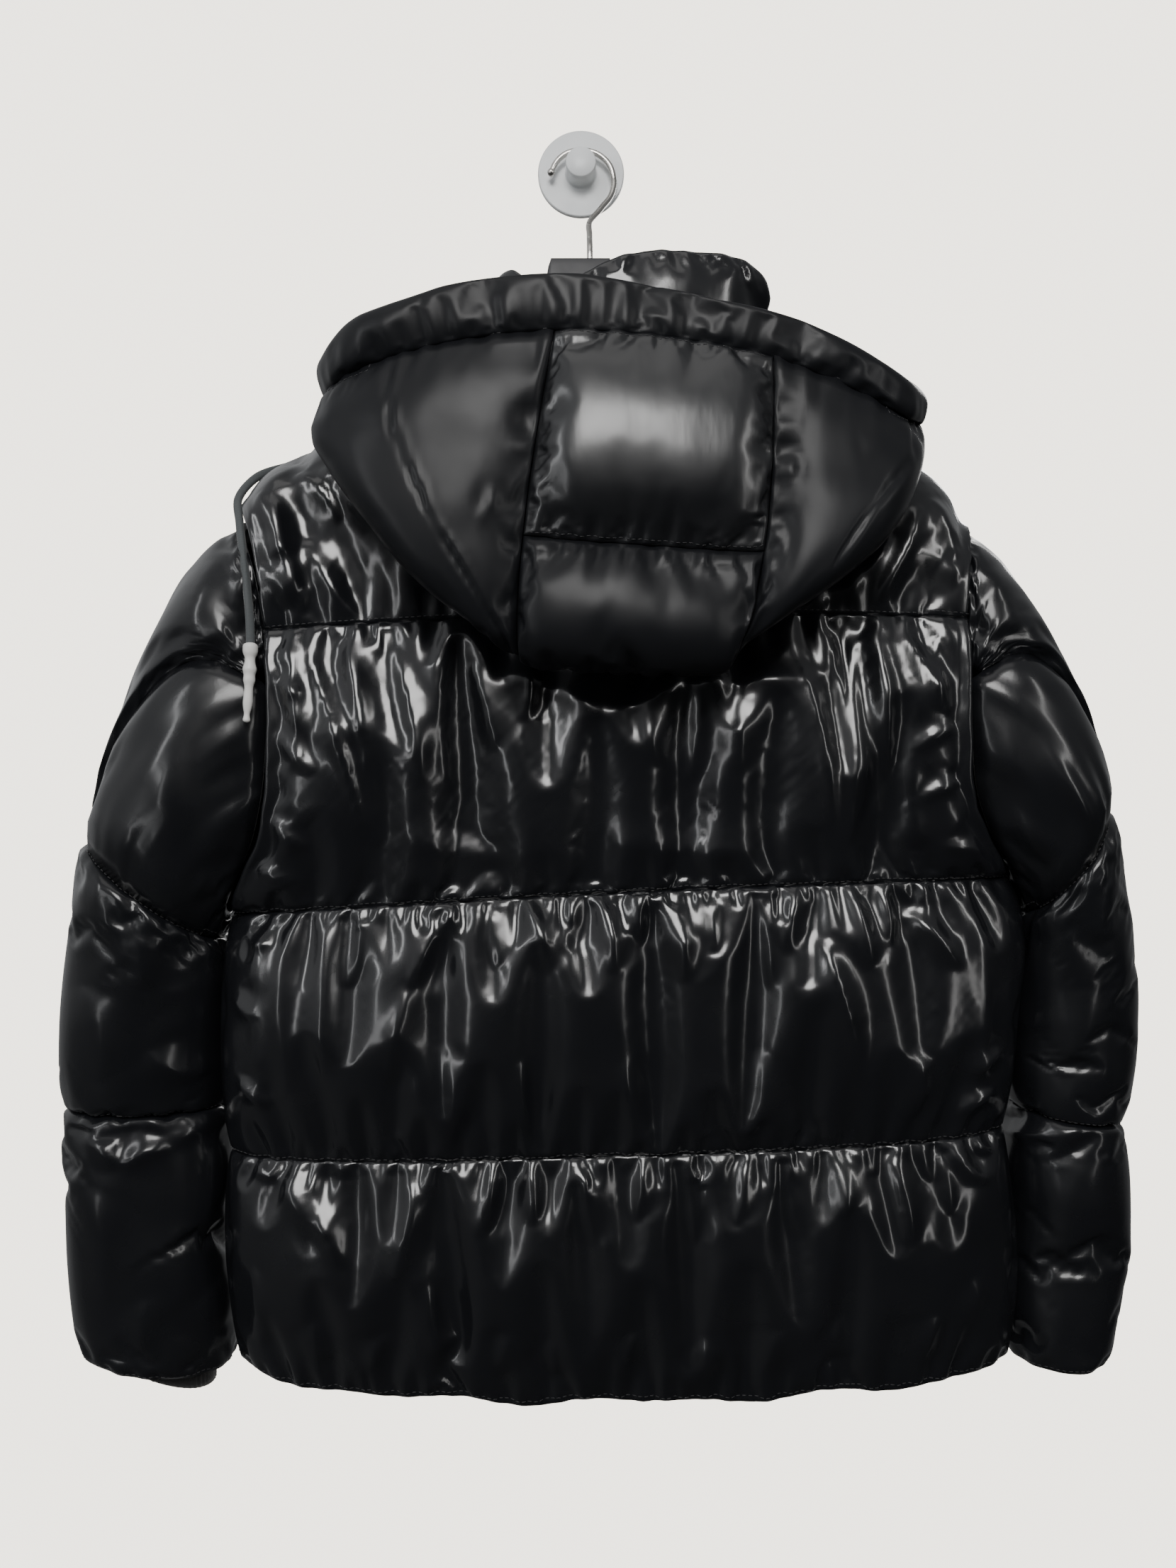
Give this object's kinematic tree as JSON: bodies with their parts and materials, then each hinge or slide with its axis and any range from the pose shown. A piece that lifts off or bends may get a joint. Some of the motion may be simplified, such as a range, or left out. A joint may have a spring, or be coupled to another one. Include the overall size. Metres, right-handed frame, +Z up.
{
  "type": "hooded puffer jacket on a hanger",
  "caption": "Short padded jacket with a folded-down hood, stand collar and front zip, hanging closed on a hanger from a round wall hook, seen from behind.",
  "frame": {"origin": "middle of the back face of the wall hook's disc, in the wall's plane", "axes": "+Y into the wall, +Z up, +X to the right as seen from in front of the wall; the jacket's back faces -Y"},
  "size_m": [0.7539, 0.2134, 0.9126],
  "materials": {
    "shell": "glossy coated nylon, padded",
    "hood_shell": "glossy coated nylon, padded",
    "lining": "smooth woven lining",
    "knit": "ribbed knit",
    "zip_tape": "woven tape",
    "zip_chain": "moulded coil, satin",
    "zip_metal": "dark satin metal",
    "nickel": "satin nickel wire",
    "charcoal": "matte charcoal plastic",
    "white_plastic": "satin white plastic",
    "cord": "braided grey cord",
    "cord_tip": "white wrapped tape"
  },
  "bodies": {
    "jacket": {"back_chest": "shell", "back_hem": "shell", "back_waist": "shell", "back_yoke": "shell", "cord_eyelet": "zip_metal", "cord_tip": "cord_tip", "drawcord": "cord", "front_left_chest": "shell", "front_left_hem": "shell", "front_left_waist": "shell", "front_left_yoke": "shell", "front_right_chest": "shell", "front_right_hem": "shell", "front_right_waist": "shell", "front_right_yoke": "shell", "hanger": "charcoal", "hanger_hook": "nickel", "hood_brim": "hood_shell", "hood_centre_lower": "hood_shell", "hood_centre_upper": "hood_shell", "hood_side_left": "hood_shell", "hood_side_right": "hood_shell", "hood_under": "lining", "inner_cuff_left": "knit", "inner_cuff_right": "knit", "sleeve_left_cap": "shell", "sleeve_left_cuff": "shell", "sleeve_left_forearm": "shell", "sleeve_left_upper": "shell", "sleeve_right_cap": "shell", "sleeve_right_cuff": "shell", "sleeve_right_forearm": "shell", "sleeve_right_upper": "shell", "stand_collar": "shell", "wall_hook": "white_plastic", "zip_chain": "zip_chain", "zip_slider": "zip_metal", "zip_tape_left": "zip_tape", "zip_tape_right": "zip_tape"},
    "pull_tab": {"zip_pull": "zip_metal"}
  },
  "joints": [
    {"name": "pull_tab_hinge", "type": "hinge", "parent": "jacket", "child": "pull_tab", "pos_m": [0.027, -0.02028, -0.1627], "axis": [1, 0, 0], "range_deg": [0, 90]}
  ]
}
